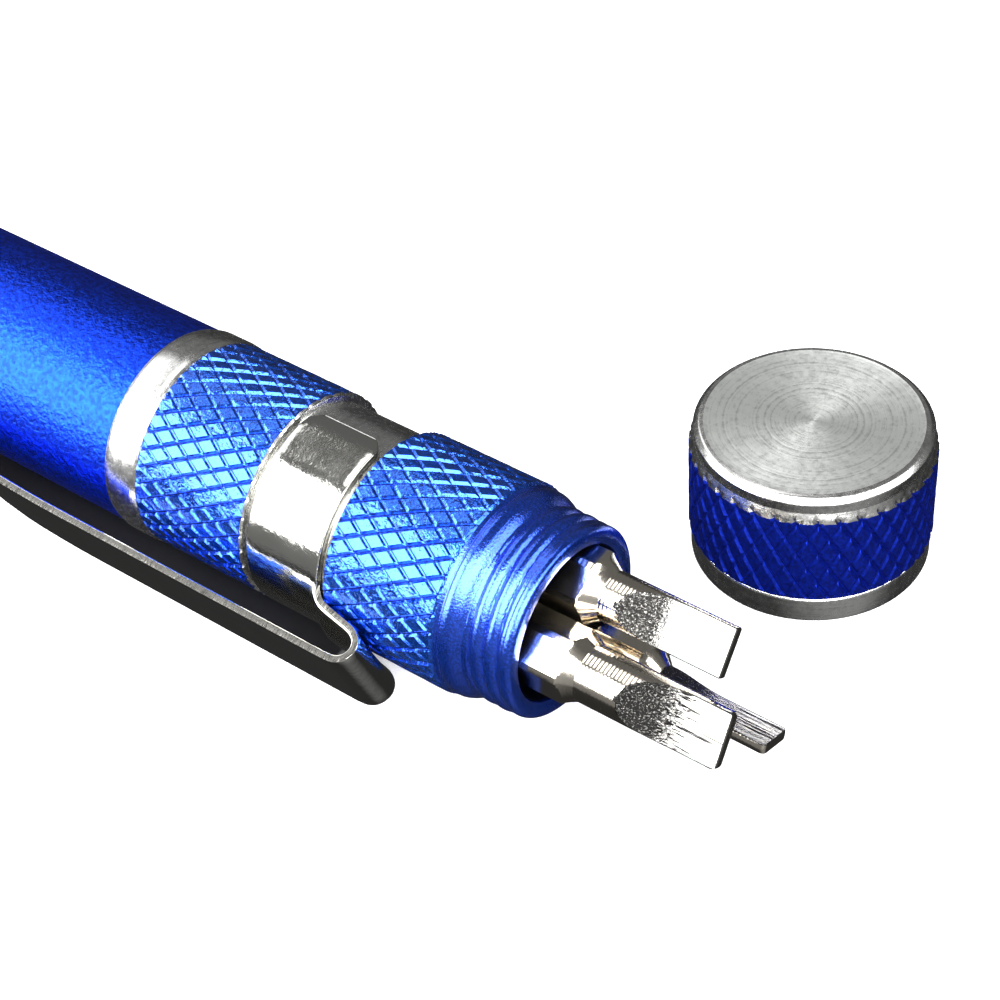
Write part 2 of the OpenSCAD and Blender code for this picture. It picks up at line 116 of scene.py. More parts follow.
class BarrelSettings(bpy.types.PropertyGroup):
    length: length("Length", "Barrel from its nose face to its open mouth", 108)
    tube_r: length("Tube radius", "Radius of the smooth barrel", 6.45)
    ring_r: length("Ring radius", "Radius of the bare turned ring", 6.588)
    knurl_r: length("Knurl radius", "Radius over the crests of the knurl", 6.5)
    knurl_depth: length("Knurl depth", "Depth of the knurl's grooves", 0.16)
    groove_r: length("Groove radius", "Radius of the clip groove's floor", 5.95)
    bore_r: length("Bore radius", "Radius of the bore that holds the bits", 4.75)
    bore_depth: length("Bore depth", "Depth of the bore from the mouth", 86)
    nose_r: length("Nose radius", "Radius of the nose's straight end", 4.5)
    root_r: length("Thread root", "Radius between the thread's ridges", 5.62)
    thread_h: length("Thread height", "Height of the thread's ridges", 0.28)
    pitch: length("Thread pitch", "Distance between the thread's ridges", 0.96)
    starts: IntProperty(name="Knurl starts", description="Grooves of the knurl each way round", default=36)
    helix: angle("Knurl angle", "Angle of the knurl's grooves to the axis", 30)


class ClipSettings(bpy.types.PropertyGroup):
    angle: angle("Clip angle", "Middle of the clip round the barrel, from straight up to the front", 113.8)
    thickness: length("Thickness", "Thickness of the steel strip", 0.48)
    width: length("Arm width", "Width of the arm", 6.2)
    band_w: length("Band width", "Width of the band in its groove", 5.3)
    band_x: signed("Band middle", "Middle of the band along the barrel", -15.6)
    band_r: length("Band radius", "Radius of the middle of the band's thickness", 6.25)
    wrap: angle("Wrap", "Angle that the band goes round the barrel", 238)
    corner_r: length("Corner radius", "Radius of the corners at the band's free ends", 1.2)


class CapSettings(bpy.types.PropertyGroup):
    x: signed("Place along", "Cap's middle along the barrel, from the mouth", 3.5)
    y: signed("Place behind", "Cap's middle behind the barrel's axis", 19.2)
    knurl_r: length("Knurl radius", "Radius over the crests of the cap's knurl", 7.3)
    knurl_depth: length("Knurl depth", "Depth of the cap's grooves", 0.16)
    band_r: length("Band radius", "Radius of the bare band at the mouth", 7.15)
    band_h: length("Band height", "Height of the bare band at the mouth", 1.85)
    knurl_top: length("Knurl top", "Height of the knurl's upper end", 7.9)
    boss_r: length("Boss radius", "Radius of the bare boss", 7.05)
    boss_low: length("Boss foot", "Height where the boss starts", 8.5)
    chamfer: length("Chamfer", "Chamfer round the top", 0.35)
    height: length("Height", "Overall height of the cap", 9.5)
    bore_r: length("Bore radius", "Radius of the hollow", 5.7)
    hollow: length("Hollow", "Depth of the hollow", 7.6)


class BitSettings(bpy.types.PropertyGroup):
    across: length("Across flats", "Width across the flats of the shank", 4)
    corner_r: length("Corner radius", "Radius to which the shank's corners are turned", 2.2)
    length: length("Length", "Overall length of a bit", 28)
    lane_r: length("Lane radius", "Middle of a stored bit from the barrel's axis", 2.5)
    neck_w: length("Neck", "Length of the cone between shank and shaft", 1.05)
    blade_t: length("Blade", "Thickness of a ground blade", 0.55)
    wheel_r: length("Wheel", "Radius of the wheel that hollows a blade", 6.5)
    ridge_pitch: length("Ridge pitch", "Distance between the turned ridges of a shaft", 0.24)
    ridge_h: length("Ridge height", "Height of the turned ridges of a shaft", 0.014)


class FinishSettings(bpy.types.PropertyGroup):
    barrel: colour("Smooth tube", (0.005, 0.055, 0.78))
    knurl: colour("Knurled bands", (0.003, 0.12, 0.82))
    mouth: colour("Threaded mouth", (0.003, 0.09, 0.84))
    # Painted shade: a far darker copy of the knurls' blue, for the shade on the cap's side
    cap: colour("Knurl of the cap", (0.003, 0.018, 0.34))
    ring: colour("Turned ring and groove", (0.87, 0.87, 0.85))
    clip: colour("Clip", (0.7, 0.7, 0.66))
    bits: colour("Bits", (0.82, 0.76, 0.66))


class StageSettings(bpy.types.PropertyGroup):
    floor: colour("Floor", (0.93, 0.93, 0.93))
    glow: share("Floor glow", "Light that the floor itself gives, which keeps shadows faint", 0.45, 5)
    sky: share("Sky", "Brightness of the surroundings above the floor", 0.13, 5)
    key: share("Key", "Brightness of the broad panel in front", 9.0, 1000)
    side: share("Side", "Brightness of the panel over the nose", 1.5, 1000)
    right: share("Right", "Brightness of the panel beyond the cap", 5.0, 1000)
    front: share("Front", "Brightness of the panel beside the camera", 9.5, 1000)
    top: share("Top", "Brightness of the narrow panel over the mouth", 3.0, 1000)
    distance: length("Panel distance", "Distance of the panels, so far that they light all alike", 500000)
    lens: share("Lens", "Focal length in millimetres on a 36 mm sensor", 91.15, 500)


def settings(name):
    """Every value of the named settings group, with lengths in millimetres."""
    group = getattr(bpy.context.scene, "screwdriver_" + name)
    found = {}
    for key in group.__annotations__:
        value = getattr(group, key)
        if group.bl_rna.properties[key].unit == "LENGTH":
            value /= MM
        found[key] = value
    return SimpleNamespace(**found)


# The flat bits that stand out of the mouth: lane angle, tip station, radius and length of the shaft, length
# and turn of the blade, rounding of the tip and share of streaks, in millimetres and degrees

FlatBit = namedtuple("FlatBit", "node body lane tip r shaft_w ground_w turn tip_round streaks")

FLATS = (
    FlatBit("flat_bit_medium", "medium_flat", 56.5, 9.65, 1.5, 8.7, 6.6, 54.0, 0.12, 0.0),
    FlatBit("flat_bit_wide", "wide_flat", 178.0, 12.0, 1.7, 9.7, 6.1, 58.4, 0.35, 0.235),
    FlatBit("flat_bit_small", "small_flat", 290.0, 12.9, 1.2, 8.4, 7.4, -15.0, 0.3, 0.21),
)

# A turned-down end of a knurled band: its edge, the radius there, the station inside of which the band is
# whole, and the index of the end's material

BandEnd = namedtuple("BandEnd", "edge edge_r inner slot")

# The line of the clip's arm: station, height over the axis, bow, share of the half width

ARM = (
    (-13.7, 6.24, 1.05, 1.11613), (-13.4, 6.25, 1.05, 1.11613),
    (-13.15, 6.34, 0.93, 1.05161), (-12.85, 6.61, 0.84, 1.00968),
    (-12.45, 6.85, 0.78, 1.0), (-11.97, 6.92, 0.68, 1.0), (-11.2, 6.92, 0.52, 1.0), (-10.5, 6.9, 0.37, 1.0),
    (-9.8, 6.88, 0.2, 1.0), (-9.35, 6.98, 0.08, 1.0), (-9.06, 7.22, 0.02, 1.0), (-8.92, 7.62, 0.0, 1.0),
    (-9.0, 8.02, 0.0, 1.0), (-9.22, 8.36, 0.0, 1.0), (-9.62, 8.6, 0.0, 1.0), (-10.2, 8.68, 0.0, 1.0),
    (-12.0, 8.69, 0.0, 1.0), (-20.0, 8.69, 0.0, 1.0), (-28.0, 8.69, 0.0, 1.0), (-32.6, 8.68, 0.0, 1.0),
    (-36.4, 8.56, 0.0, 1.0), (-38.3, 8.4, 0.0, 1.0), (-40.3, 8.17, 0.0, 1.0), (-42.5, 7.8, 0.0, 1.0),
    (-44.8, 7.32, 0.0, 0.98), (-46.6, 6.96, 0.0, 0.95), (-47.4, 6.86, 0.0, 0.88), (-48.2, 6.95, 0.0, 0.78),
    (-49.0, 7.2, 0.0, 0.55), (-49.45, 7.38, 0.0, 0.22),
)

# The light panels: angle along the barrel, angle over it from straight up to the front, width and height

PANELS = {
    "key": (-36.0, 56.0, 48.0, 54.0),
    "right": (48.0, -10.0, 20.0, 54.0),
    "side": (-50.0, -8.0, 27.0, 33.0),
    "front": (27.0, 43.0, 58.0, 44.0),
    "top": (-22.0, -5.0, 11.0, 38.0),
}


# Materials


def material(name, base, metallic=1.0, roughness=0.3, **inputs):
    """The node tree and the shader node of a new material."""
    mat = bpy.data.materials.new(name)
    mat.use_nodes = True
    shader = mat.node_tree.nodes["Principled BSDF"]
    shader.inputs["Base Color"].default_value = (*base, 1.0)
    shader.inputs["Metallic"].default_value = metallic
    shader.inputs["Roughness"].default_value = roughness
    for key, value in inputs.items():
        shader.inputs[key.replace("_", " ")].default_value = value
    return mat.node_tree, shader


def node(tree, kind, **values):
    """A node of that kind with its properties or inputs set."""
    made = tree.nodes.new(kind)
    for key, value in values.items():
        if hasattr(made, key):
            setattr(made, key, value)
        else:
            made.inputs[key.replace("_", " ")].default_value = value
    return made


def maths(tree, operation, *terms):
    """A maths node's output, from terms that are sockets or plain numbers."""
    made = node(tree, "ShaderNodeMath", operation=operation)
    for socket, term in zip(made.inputs, terms):
        if isinstance(term, bpy.types.NodeSocket):
            tree.links.new(term, socket)
        else:
            socket.default_value = term
    return made.outputs["Value"]


def apart(tree, kind):
    """The X, Y and Z outputs of that kind of coordinates."""
    coords = node(tree, "ShaderNodeTexCoord")
    split = node(tree, "ShaderNodeSeparateXYZ")
    tree.links.new(coords.outputs[kind], split.inputs["Vector"])
    return split.outputs


def object_point(tree, scale=(1.0, 1.0, 1.0)):
    """Output with the object's own coordinates, stretched by scale."""
    coords = node(tree, "ShaderNodeTexCoord")
    mapping = node(tree, "ShaderNodeMapping", Scale=scale)
    tree.links.new(coords.outputs["Object"], mapping.inputs["Vector"])
    return mapping.outputs["Vector"]


def noise(tree, point, scale, detail=3.0, rough=0.6):
    """Noise output at that scale, in features per metre."""
    made = node(tree, "ShaderNodeTexNoise", Scale=scale, Detail=detail, Roughness=rough)
    tree.links.new(point, made.inputs["Vector"])
    return made.outputs["Fac"]


def between(tree, value, low, high):
    """Zero to one as a value goes from low to high."""
    made = node(tree, "ShaderNodeMapRange", From_Min=low, From_Max=high)
    tree.links.new(value, made.inputs["Value"])
    return made.outputs["Result"]


def ramp(tree, fac, low, high, start=0.0, end=1.0):
    """Colour ramp between two colours or greys."""
    made = node(tree, "ShaderNodeValToRGB")
    for stop, value, place in ((0, low, start), (1, high, end)):
        element = made.color_ramp.elements[stop]
        element.position = place
        element.color = (*value, 1.0) if hasattr(value, "__len__") else (value, value, value, 1.0)
    tree.links.new(fac, made.inputs["Fac"])
    return made.outputs["Color"]


def bump(tree, shader, height, distance):
    """Bump into the shader's normal, in metres."""
    made = node(tree, "ShaderNodeBump", Strength=1.0, Distance=distance)
    tree.links.new(height, made.inputs["Height"])
    tree.links.new(made.outputs["Normal"], shader.inputs["Normal"])
    return made.outputs["Normal"]


def uneven_roughness(tree, shader, patches, low, high, start=0.0, end=1.0):
    """Roughness that goes from low to high over a noise's patches."""
    tree.links.new(ramp(tree, patches, low, high, start, end), shader.inputs["Roughness"])


def blasted_blue(name, base, roughness, fine_scale, grain, coat, coat_ior=1.5, metallic=1.0):
    """Blue anodised aluminium: tinted metal under a clear oxide layer, both with a blasted grain."""
    tree, shader = material(name, base, metallic, roughness, Coat_Weight=coat,
                            Coat_Roughness=roughness, Coat_IOR=coat_ior)
    darker = tuple(0.6 * c for c in base)
    lighter = tuple(min(1.0, 1.25 * c) for c in base)
    point = object_point(tree)
    patches = noise(tree, point, 900.0, 2.0)
    fine = noise(tree, point, fine_scale, 2.0, 0.55)
    uneven_roughness(tree, shader, patches, roughness - 0.04, roughness + 0.06)
    tree.links.new(ramp(tree, fine, darker, lighter, 0.35, 0.65), shader.inputs["Base Color"])
    tree.links.new(bump(tree, shader, fine, grain), shader.inputs["Coat Normal"])


def turned_metal(name, base, axis, roughness=0.22, marks=0.00001, anisotropic=0.0, metallic=1.0):
    """Bare turned aluminium, with marks round the X or the Z axis, or in rings across the end for R."""
    tree, shader = material(name, base, metallic, roughness, Anisotropic=anisotropic)
    if axis == "R":
        reach = node(tree, "ShaderNodeVectorMath", operation="LENGTH")
        tree.links.new(object_point(tree, (1.0, 1.0, 0.0)), reach.inputs[0])
        rings = node(tree, "ShaderNodeTexNoise", noise_dimensions="1D", Scale=5000.0, Detail=3.0)
        tree.links.new(reach.outputs["Value"], rings.inputs["W"])
        height = rings.outputs["Fac"]
        tangent = node(tree, "ShaderNodeTangent", direction_type="RADIAL", axis="Z")
        tree.links.new(tangent.outputs["Tangent"], shader.inputs["Tangent"])
        shader.inputs["Anisotropic Rotation"].default_value = 0.25
    else:
        stretch = (1.0, 0.05, 0.05) if axis == "X" else (0.05, 0.05, 1.0)
        height = noise(tree, object_point(tree, stretch), 7000.0)
    patches = noise(tree, object_point(tree), 2600.0, 4.0, 0.75)
    uneven_roughness(tree, shader, patches, roughness - 0.04, roughness + 0.08, 0.3, 0.7)
    handled = ramp(tree, maths(tree, "ADD", patches, height), tuple(0.7 * c for c in base), base, 0.7, 1.25)
    tree.links.new(handled, shader.inputs["Base Color"])
    bump(tree, shader, height, marks)


def plated_steel(name, base, roughness, grain=0.000006, scale=2500.0, stretch=(1.0, 1.0, 1.0)):
    """Plated or ground steel with a faint grain that may be stretched along an axis."""
    tree, shader = material(name, base, roughness=roughness)
    patches = noise(tree, object_point(tree), 500.0)
    uneven_roughness(tree, shader, patches, roughness * 0.8, roughness * 1.3, 0.3, 0.7)
    bump(tree, shader, noise(tree, object_point(tree, stretch), scale, 2.0), grain)


def ground_steel(bit):
    """A blade's ground face: speckled in the wheel's run-out, then bright, with dark edges and streaks."""
    base = (0.9, 0.88, 0.84)
    dark = tuple(0.02 * c for c in base)
    speckled = 2.0 - bit.ground_w
    bright = 4.4 - bit.ground_w
    speckle_scale = 9000.0
    streak_scale = 13000.0
    turn = math.radians(bit.turn)
    tree, shader = material(bit.node + "_grind", base, roughness=0.22)
    across = node(tree, "ShaderNodeVectorMath", operation="DOT_PRODUCT")
    across.inputs[1].default_value = (0.0, math.cos(turn), math.sin(turn))
    tree.links.new(object_point(tree), across.inputs[0])
    reach = maths(tree, "ABSOLUTE", across.outputs["Value"])
    along = apart(tree, "Object")["X"]
    ground = between(tree, along, bright * MM, speckled * MM)
    speckle = noise(tree, object_point(tree), speckle_scale, 5.0, 0.85)
    lines = noise(tree, object_point(tree, (0.015, 1.0, 1.0)), streak_scale)
    marks = between(tree, maths(tree, "MULTIPLY_ADD", ground, 0.4, speckle), 0.67, 0.87)
    # darker at the ground face's rim and at the tip
    for more in (between(tree, reach, (bit.r - 0.15) * MM, (bit.r - 0.09) * MM),
                 between(tree, along, -0.13 * MM, -0.08 * MM),
                 between(tree, lines, 0.7 - bit.streaks, 0.77 - bit.streaks)):
        marks = maths(tree, "MAXIMUM", marks, more)
    tree.links.new(ramp(tree, marks, base, dark), shader.inputs["Base Color"])
    grain = noise(tree, object_point(tree), speckle_scale, 4.0, 0.7)
    bump(tree, shader, maths(tree, "MULTIPLY", ground, grain), 0.00003)


def looks():
    """Every material by name, made once."""
    known = bpy.data.materials
    if "blue_barrel" not in known:
        s = settings("finish")
        blasted_blue("blue_barrel", s.barrel, 0.36, 3200.0, 0.00008, coat=0.1)
        blasted_blue("blue_knurl", s.knurl, 0.18, 3800.0, 0.00005, coat=1.0, metallic=0.94)
        blasted_blue("blue_mouth", s.mouth, 0.2, 7000.0, 0.00002, coat=1.0, coat_ior=1.6, metallic=0.945)
        # Painted shade: the cap's knurl is a far darker copy of the blue anodising, for the shade on its side
        blasted_blue("navy_knurl", s.cap, 0.48, 4500.0, 0.00003, coat=0.05, metallic=0.93)
        # Painted shade: the knurls' groove floors are near-black blue, far darker than the anodised tops
        blasted_blue("knurl_floor", (0.001, 0.008, 0.09), 0.45, 4500.0, 0.00002, coat=0.1)
        # Painted shade: the bore and the cap's hollow are near black, far darker than the blue anodising
        # outside
        blasted_blue("dark_bore", (0.002, 0.006, 0.03), 0.5, 3000.0, 0.00002, coat=0.2)
        turned_metal("turned_ring", s.ring, "X")
        turned_metal("turned_side", (0.86, 0.86, 0.84), "Z")
        turned_metal("turned_top", (0.76, 0.78, 0.75), "R", 0.32, 0.000012, anisotropic=0.75, metallic=0.87)
        plated_steel("spring_steel", s.clip, 0.11, 0.000013, 2600.0)
        plated_steel("sheared_edge", (0.2, 0.195, 0.18), 0.22, 0.0001, 3500.0, (1.0, 0.12, 0.12))
        turned_metal("burr", (0.9, 0.9, 0.88), "X", 0.4, metallic=0.3)
        plated_steel("nickel", s.bits, 0.13, 0.000008, 3000.0)
        for bit in FLATS:
            ground_steel(bit)
        plated_steel("socket_turned", (0.6, 0.6, 0.6), 0.25)
        plated_steel("magnet_plating", (0.62, 0.61, 0.6), 0.18)
    return known


# Meshes


def mesh_object(name, points, faces, materials, indices=None, sharp=32.0, origin=(0.0, 0.0, 0.0)):
    """A mesh object from points in millimetres, measured from its origin in the row frame."""
    mesh = bpy.data.meshes.new(name)
    mesh.from_pydata((np.asarray(points) * MM).tolist(), [], faces)
    for one in materials:
        mesh.materials.append(looks()[one])
    if indices is not None:
        mesh.polygons.foreach_set("material_index", np.asarray(indices, dtype=np.int32))
    mesh.validate()
    mesh.shade_smooth()
    mesh.set_sharp_from_angle(angle=math.radians(sharp))
    obj = bpy.data.objects.new(name, mesh)
    obj.location = Vector(origin) * MM
    bpy.context.scene.collection.objects.link(obj)
    return obj


def full_turn(around):
    """Angles of that many points round a circle."""
    return np.arange(around) * 2 * math.pi / around


def grid_faces(rows, columns):
    """Quads between rows of points that go all the way round."""
    faces = []
    for i in range(rows - 1):
        for j in range(columns):
            a = i * columns + j
            b = i * columns + (j + 1) % columns
            faces.append((a, b, b + columns, a + columns))
    return faces


def turned_points(stations, radii, axis="X", turns=None):
    """Points of a turned surface, from stations and radii with one row a station."""
    if turns is None:
        turns = full_turn(radii.shape[1])
    x = np.asarray(stations)[:, None] * np.ones_like(radii)
    y = radii * np.cos(turns)
    z = radii * np.sin(turns)
    return np.stack((x, y, z) if axis == "X" else (y, z, x), axis=-1).reshape(-1, 3)


def round_rows(profile, around):
    """Stations and round rows of radii from (station, radius) points."""
    stations, radii = np.array(profile).T
    return stations, radii[:, None] * np.ones((1, around))


def turned_mesh(name, stations, radii, look, axis="X", origin=AXIS_ORIGIN, sharp=32.0):
    """A turned piece of one material, from stations and radii with one row a station."""
    return mesh_object(name, turned_points(stations, radii, axis), grid_faces(*radii.shape), [look],
                       None, sharp, origin)


def lathe(name, profile, look, around=192, axis="X", origin=AXIS_ORIGIN):
    """A turned piece of one material from (station, radius) points."""
    return turned_mesh(name, *round_rows(profile, around), look, axis, origin)


def threaded(profile, around, start, lead, height, fades):
    """Stations and radii of a turned profile with a helical ridge.

    start is the ridge's station at angle zero, and lead is how far one turn carries it. fades are the four
    stations where the ridge starts, is full, is full for the last time and ends.
    """
    stations, radii = round_rows(profile, around)
    place = (stations[:, None] - start) / lead - full_turn(around) / (2 * math.pi)
    ridge = 1 - (2 * np.abs(place - np.round(place))) ** 2
    return stations, radii + height * ridge * np.interp(stations, fades, (0, 1, 1, 0))[:, None]


def rounded(profile, radius, steps=4):
    """The profile with its inner corners rounded off."""
    out = [profile[0]]
    for three in zip(profile, profile[1:], profile[2:]):
        a, b, c = (np.array(point, float) for point in three)
        back = np.linalg.norm(a - b)
        ahead = np.linalg.norm(c - b)
        reach = min(radius, back / 2.2, ahead / 2.2)
        start = b + (a - b) / back * reach
        end = b + (c - b) / ahead * reach
        for t in np.arange(steps + 1) / steps:
            out.append(tuple((1 - t) ** 2 * start + 2 * t * (1 - t) * b + t * t * end))
    out.append(profile[-1])
    return out


def clipped(outline, low, high):
    """The part of a convex outline of (station, turn) points between two stations."""
    for limit, sign in ((low, 1.0), (high, -1.0)):
        kept = []
        for here, after in zip(outline, outline[1:] + outline[:1]):
            reach = sign * (here[0] - limit)
            ahead = sign * (after[0] - limit)
            if reach >= 0:
                kept.append(here)
            if reach * ahead < 0:
                t = reach / (reach - ahead)
                kept.append((limit, here[1] + (after[1] - here[1]) * t))
        outline = kept
    return outline


def diamond_cells():
    """Faces of one cell of the knurl, whose corners are groove crossings, split where the walls fold."""
    lines = (0.0, FLOOR_EDGE, WALL_TOP, 0.5, 1.0 - WALL_TOP, 1.0 - FLOOR_EDGE, 1.0)
    walls = (1, 4)
    cells = []
    for i, (a, b) in enumerate(zip(lines, lines[1:])):
        for j, (c, d) in enumerate(zip(lines, lines[1:])):
            corners = [(a, c), (b, c), (b, d), (a, d)]
            if i in walls and j in walls:
                first = 0 if i == j else 1
                ring = corners[first:] + corners[:first]
                cells += [ring[:3], [ring[0], ring[2], ring[3]]]
            else:
                cells.append(corners)
    return cells


def knurl(name, s, low, high, ends, materials, axis="X", origin=AXIS_ORIGIN):
    """A band of flat-topped diamonds between crossing families of helical grooves.

    ends are the band's turned-down ends. The last material is the grooves' floor; a darker one there is
    painted shade in the grooves. The diamonds' tops are a little uneven, as rolled ones are, and the grooves
    of the second family have a lesser share of the depth.
    """
    lines = settings("barrel")
    chance = random.Random(5)
    run_out = 0.35
    uneven = 0.03
    lesser = 0.6
    rate = math.tan(lines.helix) * lines.starts / (2 * math.pi * s.knurl_r)
    cuts = {low, high}
    for end in ends:
        floor_share = (s.knurl_r - s.knurl_depth - end.edge_r) / (s.knurl_r - end.edge_r)
        cuts |= {end.inner, end.edge + (end.inner - end.edge) * max(0.0, floor_share),
                 end.edge + math.copysign(run_out, end.inner - end.edge)}
    cuts = sorted(cuts)

    def fall(station, turn):
        """Share of the depth that the grooves take there."""
        sunk = 0.0
        for place, share_of in ((turn + station * rate, 1.0), (turn - station * rate, lesser)):
            gap = abs(place - round(place))
            sunk = max(sunk, share_of * min(1.0, (WALL_TOP - gap) / (WALL_TOP - FLOOR_EDGE)))
        return sunk

    def turned_down(end, station):
        """Radius to which an end is turned down at a station."""
        return end.edge_r + (s.knurl_r - end.edge_r) * (station - end.edge) / (end.inner - end.edge)

    def radius_at(station, turn):
        """Radius of the band there, with a random draw on the diamonds' tops."""
        sunk = fall(station, turn)
        near = min([run_out] + [abs(station - end.edge) for end in ends])
        r = s.knurl_r - s.knurl_depth * sunk * (0.45 + 0.55 * near / run_out)
        if sunk == 0.0:
            r -= uneven * chance.random()
        return min([r] + [turned_down(end, station) for end in ends])

    def slot_at(station, turn):
        """Index of the material there."""
        for end in ends:
            if turned_down(end, station) < s.knurl_r - 0.001:
                return end.slot
        # groove floors take the last material, which on the barrel is painted shade
        return len(materials) - 1 if fall(station, turn) > 0.99 else 0

    places = {}
    points = []

    def index_at(station, turn):
        """Index of the point there, which is made at the first call."""
        key = (round(station, 4), round(turn % lines.starts, 4) % lines.starts)
        if key not in places:
            places[key] = len(points)
            r = radius_at(station, turn)
            radians = 2 * math.pi * turn / lines.starts
            across = (r * math.cos(radians), r * math.sin(radians))
            points.append((station, *across) if axis == "X" else (*across, station))
        return places[key]

    faces = []
    indices = []
    cells = diamond_cells()
    for j in range(lines.starts):
        for m in range(math.floor(2 * rate * low) - 1, math.ceil(2 * rate * high) + 1):
            for cell in cells:
                outline = [((m + u - v) / (2 * rate), j + (m + u + v) / 2) for u, v in cell]
                for x0, x1 in zip(cuts, cuts[1:]):
                    piece = clipped(outline, x0, x1)
                    face = tuple(dict.fromkeys(index_at(*corner) for corner in piece))
                    if len(face) < 3:
                        continue
                    faces.append(face[::-1])
                    indices.append(slot_at(*(sum(column) / len(piece) for column in zip(*piece))))
    return mesh_object(name, points, faces, materials, indices, 22.0, origin)


def rounded_section(half_w, half_t):
    """Closed outline of a strip's cross-section as (across, through) points."""
    corner = min(0.09, half_w * 0.9, half_t * 0.9)
    half = [(across, half_t) for across in np.linspace(corner - half_w, half_w - corner, LANES + 1)]
    for k in range(1, 2 * ARC):
        turn = math.pi / 2 * (1 - k / ARC)
        middle = half_t - corner if k <= ARC else corner - half_t
        half.append((half_w - corner + corner * math.cos(turn), middle + corner * math.sin(turn)))
    return half + [(-across, -through) for across, through in half]


def swept_strip(name, stations, materials):
    """A strip through stations of (base, across, through, half width, thickness, bow direction, bow).

    The second material is that of its sheared edges and ends.
    """
    points = []
    for base, across, through, half_w, thickness, drop, bow in stations:
        for s, n in rounded_section(half_w, thickness / 2):
            points.append(base + across * s + through * n - drop * bow * (s / half_w) ** 2)
    faces = grid_faces(len(stations), SECTION)
    indices = [1 if k % SECTION in SHEARED else 0 for k in range(len(faces))]
    faces.append(tuple(range(SECTION - 1, -1, -1)))
    faces.append(tuple(range(len(points) - SECTION, len(points))))
    return mesh_object(name, points, faces, materials, indices + [1, 1], 40.0, AXIS_ORIGIN)


def joined(name, pieces):
    """One object from several, with their materials kept."""
    bpy.ops.object.select_all(action="DESELECT")
    for piece in pieces:
        piece.select_set(True)
    bpy.context.view_layer.objects.active = pieces[0]
    bpy.ops.object.join()
    obj = bpy.context.view_layer.objects.active
    obj.name = name
    obj.data.name = name
    return obj


def cut(obj, cutter):
    """obj with the cutter's volume taken away."""
    change = obj.modifiers.new("cut", "BOOLEAN")
    change.operation = "DIFFERENCE"
    change.solver = "EXACT"
    change.object = cutter
    bpy.context.view_layer.objects.active = obj
    bpy.ops.object.modifier_apply(modifier=change.name)
    bpy.data.objects.remove(cutter)


# Pieces


def build_barrel():
    """The turned barrel, as its smooth tube, ring, knurls, groove, threaded mouth and bore."""
    s = settings("barrel")
    nose = -s.length
    tube = rounded([(nose, 3.5), (nose, s.nose_r), (nose + 5, s.nose_r), (nose + 14, s.tube_r),
                    (RING_START, s.tube_r)], 0.3)
    ring = [(RING_START, s.tube_r), (RING_START + 0.08, s.tube_r + 0.02), (RING_START + 0.45, s.ring_r),
            (RING_END - 0.6, s.ring_r), (RING_END - 0.25, s.ring_r - 0.03), (RING_END - 0.05, s.ring_r - 0.1),
            (RING_END + 0.01, s.ring_r - 0.2), (RING_END + 0.03, s.groove_r + 0.2)]
    wall = [(0.0, KNURL_EDGE_R), (0.01, KNURL_EDGE_R - 0.02), (0.06, s.groove_r + 0.04), (0.1, s.groove_r)]
    groove = [(GROOVE_START + x, r) for x, r in wall] + [(GROOVE_END - x, r) for x, r in reversed(wall)]
    bore = [(-0.3, s.bore_r), (-s.bore_depth, s.bore_r), (-s.bore_depth - 0.01, 3.0),
            (-s.bore_depth - 1, 0.01)]
    # the last of these, the grooves' floor, is painted shade
    names = ["blue_knurl", "turned_ring", "knurl_floor"]
    made = [lathe("barrel_tube", tube, "blue_barrel"),
            lathe("turned_ring", ring, "turned_ring"),
            knurl("front_knurl", s, RING_END, GROOVE_START,
                  [BandEnd(GROOVE_START, KNURL_EDGE_R, -18.8, 1)], names),
            lathe("clip_groove", groove, "turned_ring", 160),
            knurl("rear_knurl", s, GROOVE_END, SHOULDER,
                  [BandEnd(GROOVE_END, KNURL_EDGE_R, -12.45, 1),
                   BandEnd(SHOULDER, KNURL_EDGE_R, -4.9, 0)], names),
            build_mouth(s),
            # the bore's near-black colour is painted shade
            lathe("bit_bore", bore, "dark_bore", 96)]
    return made


def build_mouth(s):
    """The rounded shoulder, the threaded neck and the rounded lip of the mouth."""
    neck_start = -2.95
    neck_end = -0.82
    profile = rounded([(SHOULDER, KNURL_EDGE_R), (-4.5, 6.22), (-4.36, 6.32), (-4.05, 6.33), (-3.7, 6.2),
                       (-3.4, 5.98), (-3.12, 5.72), (neck_start, s.root_r)], 0.1, 3)
    profile += [(x, s.root_r) for x in np.linspace(neck_start, neck_end, 53)[1:]]
    profile += rounded([(-0.8, s.root_r + 0.02), (-0.62, 5.76), (-0.4, 5.84), (-0.12, 5.8), (0.06, 5.62),
                        (0.12, 5.3), (0.1, 5.0), (0.02, s.bore_r + 0.06), (-0.1, s.bore_r), (-0.4, s.bore_r)],
                       0.12, 3)
    ridge_start = -2.65 - s.pitch * 40 / 360
    fades = (-3.15, -2.85, -0.92, -0.62)
    rows = threaded(profile, 192, ridge_start, s.pitch, s.thread_h, fades)
    return turned_mesh("threaded_mouth", *rows, "blue_mouth", sharp=60.0)


def clip_frame(s):
    """Outward, sideways and lengthwise directions at the clip's middle."""
    out = np.array((0.0, -math.sin(s.angle), math.cos(s.angle)))
    side = np.array((0.0, math.cos(s.angle), math.sin(s.angle)))
    return out, side, np.array((1.0, 0.0, 0.0))


def smooth_line(points, steps):
    """A curve through the points, as a Catmull-Rom spline in any number of columns."""
    p = np.asarray(points, float)
    p = np.vstack((2 * p[0] - p[1], p, 2 * p[-1] - p[-2]))
    out = []
    for i in range(1, len(p) - 2):
        for k in range(steps):
            t = k / steps
            out.append(0.5 * (2 * p[i] + (p[i + 1] - p[i - 1]) * t
                              + (2 * p[i - 1] - 5 * p[i] + 4 * p[i + 1] - p[i + 2]) * t * t
                              + (3 * p[i] - p[i - 1] - 3 * p[i + 1] + p[i + 2]) * t ** 3))
    out.append(p[-2])
    return np.array(out)


